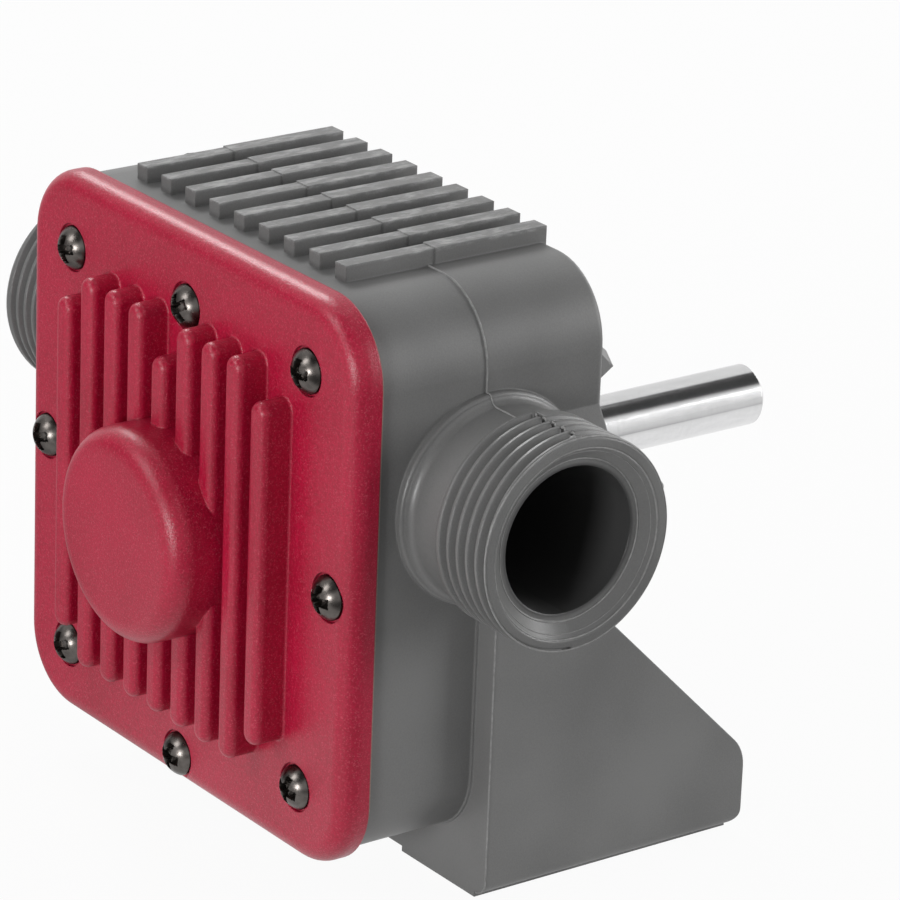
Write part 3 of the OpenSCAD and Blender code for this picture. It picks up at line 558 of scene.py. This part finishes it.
# Plates, washer and seal steel
# Stamped from rolled stainless sheet, with the mill's faint straight lines. The plates lie against
# the chamber's ends, the washer runs against the rear boss, and the seal's cup and spring match.
SHEET_LOW = (0.5, 0.5, 0.51, 1)
SHEET_HIGH = (0.68, 0.68, 0.69, 1)
rolled = Finish("plate_rolled", Metallic=1.0)
lines = rolled.noise(6.0, 2.0, 0.5, rolled.stretched((1.0, 1.0, 0.05)))
rolled.feed(Base_Color=rolled.mix(lines, SHEET_LOW, SHEET_HIGH), Roughness=0.25 + lines * 0.15)
rolled.bump(lines, 0.003)
for node in ("front_thrust_disc", "front_wear_plate", "rear_wear_plate"):
    dress(node, rolled)
for node in ("seal_case", "seal_spring", "rear_thrust_washer"):
    dress(node, rolled)

# Impeller and seal lip
# Moulded black nitrile rubber with a dull skin; the impeller is bonded to its brass hub,
# and the lip sits in the seal's steel cup.
RUBBER_DARK = (0.012, 0.012, 0.012, 1)
RUBBER_DULL = (0.03, 0.03, 0.03, 1)
rubber = Finish("impeller_rubber", Metallic=0.0)
skin = rubber.noise(4.0, 3.0)
rubber.feed(Base_Color=rubber.mix(skin, RUBBER_DARK, RUBBER_DULL), Roughness=0.5 + skin * 0.2)
rubber.bump(skin, 0.02, 0.3)
dress("impeller", rubber)
dress("seal_lip", rubber)

# Impeller hub insert
# Turned brass, slotted for the cross pin that drives it.
# The lathe leaves fine rings about its axis.
BRASS_LOW = (0.5, 0.3, 0.08, 1)
BRASS_HIGH = (0.75, 0.52, 0.2, 1)
brass = Finish("hub_brass", Metallic=1.0)
tool_marks = brass.noise(5.0, 2.0, 0.5, brass.stretched((0.05, 1.0, 0.05)))
brass.feed(Base_Color=brass.mix(tool_marks, BRASS_LOW, BRASS_HIGH), Roughness=0.2 + tool_marks * 0.15)
brass.bump(tool_marks, 0.003)
dress("impeller_hub", brass)

# Circlips
# Stamped spring steel with a grey-black phosphate coat, sprung into the shaft's grooves.
# The coat is crystalline and dull.
COAT_DARK = (0.035, 0.035, 0.037, 1)
COAT_GREY = (0.075, 0.075, 0.08, 1)
spring_black = Finish("clip_phosphated", Metallic=0.7)
coat = spring_black.noise(3.0, 3.0)
spring_black.feed(Base_Color=spring_black.mix(coat, COAT_DARK, COAT_GREY), Roughness=0.4 + coat * 0.2)
spring_black.bump(coat, 0.006, 0.1)
dress("front_circlip", spring_black)
dress("rear_circlip", spring_black)

# Floor
# A pale sweep. The camera and the gloss of metal see it white, apart from the front left and the
# right, where the gloss sees dark boards.
FLOOR_HALF = 4.0
FLOOR_DROP = 0.0001
FLOOR_SEEN = 0.95
FLOOR_PALE = (0.55, 0.55, 0.55, 1)
BOARD_EDGE_AT = 0.03
BOARD_EDGE_RUN = 0.75
LEFT_BOARD_X = (-0.05, 0.01)
LEFT_BOARD_Y = (-0.03, 0.03)
LEFT_BOARD_DARK = 0.6
RIGHT_BOARD_X = (0.05, 0.09)
RIGHT_BOARD_Y = (0.02, 0.2)
RIGHT_BOARD_DARK = 0.8
floor_mesh = bpy.data.meshes.new("floor")
floor_corners = np.array([(-1, -1, 0), (1, -1, 0), (1, 1, 0), (-1, 1, 0)]) * FLOOR_HALF
floor_corners -= (0, 0, FLOOR_DROP)
floor_mesh.from_pydata(floor_corners.tolist(), [], [(0, 1, 2, 3)])
floor = bpy.data.objects.new("floor", floor_mesh)
bpy.context.scene.collection.objects.link(floor)
pale = Finish("floor_pale", Roughness=0.9, Specular_IOR_Level=0.0, Base_Color=FLOOR_PALE)
seen = pale.node("ShaderNodeLightPath", out="Is Camera Ray")
glossed = pale.node("ShaderNodeLightPath", out="Is Glossy Ray")
floor_x, floor_y = pale.part(pale.place(), "X"), pale.part(pale.place(), "Y")
from_edge = floor_x - (floor_y + BOARD_EDGE_AT) * BOARD_EDGE_RUN
left_board = pale.step(from_edge, *LEFT_BOARD_X, 1.0, 0.0) * pale.step(floor_y, *LEFT_BOARD_Y, 1.0, 0.0)
right_board = pale.step(floor_x, *RIGHT_BOARD_X) * pale.step(floor_y, *RIGHT_BOARD_Y, 1.0, 0.25)
dark = pale.math("MAXIMUM", left_board * LEFT_BOARD_DARK, right_board * RIGHT_BOARD_DARK)
white = pale.node("ShaderNodeEmission", {}, {"Color": (1, 1, 1, 1), "Strength": 1.0 - dark * glossed})
blend = pale.node("ShaderNodeMixShader", {}, {
    0: pale.math("MAXIMUM", seen, glossed) * FLOOR_SEEN,
    1: Flow(pale, pale.shader.outputs[0]),
    2: white,
})
pale.link(pale.tree.nodes["Material Output"].inputs["Surface"], blend)
floor_mesh.materials.append(pale.material)

# Lamps and room
# Soft boxes in a white room. Gloss sees the room white, with a dark gap behind and above the pump
# and another at the front left; everything else gets a low even fill.
ROOM_FILL = 0.2
ROOM_GLOSS = 0.85
AIM = (0.0, 0.0, 0.04)
GAP_BEHIND_FROM_X = (-0.26, -0.14)
GAP_BEHIND_TO_X = (0.44, 0.62)
GAP_BEHIND_Z = (0.42, 0.56)
GAP_BEHIND_DARK = 0.8
GAP_LEFT_X = (-0.6, -0.35)
GAP_LEFT_Y = (-0.35, -0.1)
GAP_LEFT_Z = (0.3, 0.5)
GAP_LEFT_DARK = 0.7


def lamp(name, place, size, watts):
    """A rectangular soft box that faces the pump, with its two sides in metres."""
    light = bpy.data.lights.new(name, "AREA")
    light.shape = "RECTANGLE"
    light.size, light.size_y = size
    light.energy = watts
    made = bpy.data.objects.new(name, light)
    made.location = place
    made.rotation_euler = (Vector(AIM) - Vector(place)).to_track_quat("-Z", "Y").to_euler()
    bpy.context.scene.collection.objects.link(made)


lamp("key", (-0.25, -1.0, 0.85), (0.45, 0.45), 4.6)
lamp("front_strip", (0.36, -0.95, 0.16), (0.22, 0.22), 4.6)
lamp("side", (0.62, 1.0, 0.34), (0.5, 0.5), 7.5)
lamp("left_top", (-0.85, 0.15, 0.8), (0.35, 0.35), 5.6)
lamp("top", (0.1, 0.2, 1.2), (0.9, 0.9), 1.6)
lamp("rim", (-0.3, 1.1, 0.6), (0.6, 0.6), 3.0)

room = bpy.data.worlds.new("room")
room.use_nodes = True
bpy.context.scene.world = room
sky = Wiring(room.node_tree)
backdrop = room.node_tree.nodes["Background"]
toward = sky.node("ShaderNodeTexCoord", out="Generated")
to_x, to_y, to_z = (sky.part(toward, axis) for axis in "XYZ")
gap_behind = sky.step(to_z, *GAP_BEHIND_Z) * sky.step(to_x, *GAP_BEHIND_FROM_X)
gap_behind = gap_behind * sky.step(to_x, *GAP_BEHIND_TO_X, 1.0, 0.0)
gap_left = sky.step(to_x, *GAP_LEFT_X, 1.0, 0.0) * sky.step(to_y, *GAP_LEFT_Y, 1.0, 0.0)
gap_left = gap_left * sky.step(to_z, *GAP_LEFT_Z, 1.0, 0.0)
sky_seen = sky.node("ShaderNodeLightPath", out="Is Camera Ray")
sky_glossed = sky.node("ShaderNodeLightPath", out="Is Glossy Ray")
gloss_level = ROOM_GLOSS - sky.math("MAXIMUM", gap_behind * GAP_BEHIND_DARK, gap_left * GAP_LEFT_DARK)
low_fill = (1.0 - sky.math("MAXIMUM", sky_seen, sky_glossed)) * ROOM_FILL
level = sky_seen + sky_glossed * gloss_level + low_fill
sky.link(backdrop.inputs["Color"], (1, 1, 1, 1))
sky.link(backdrop.inputs["Strength"], level)
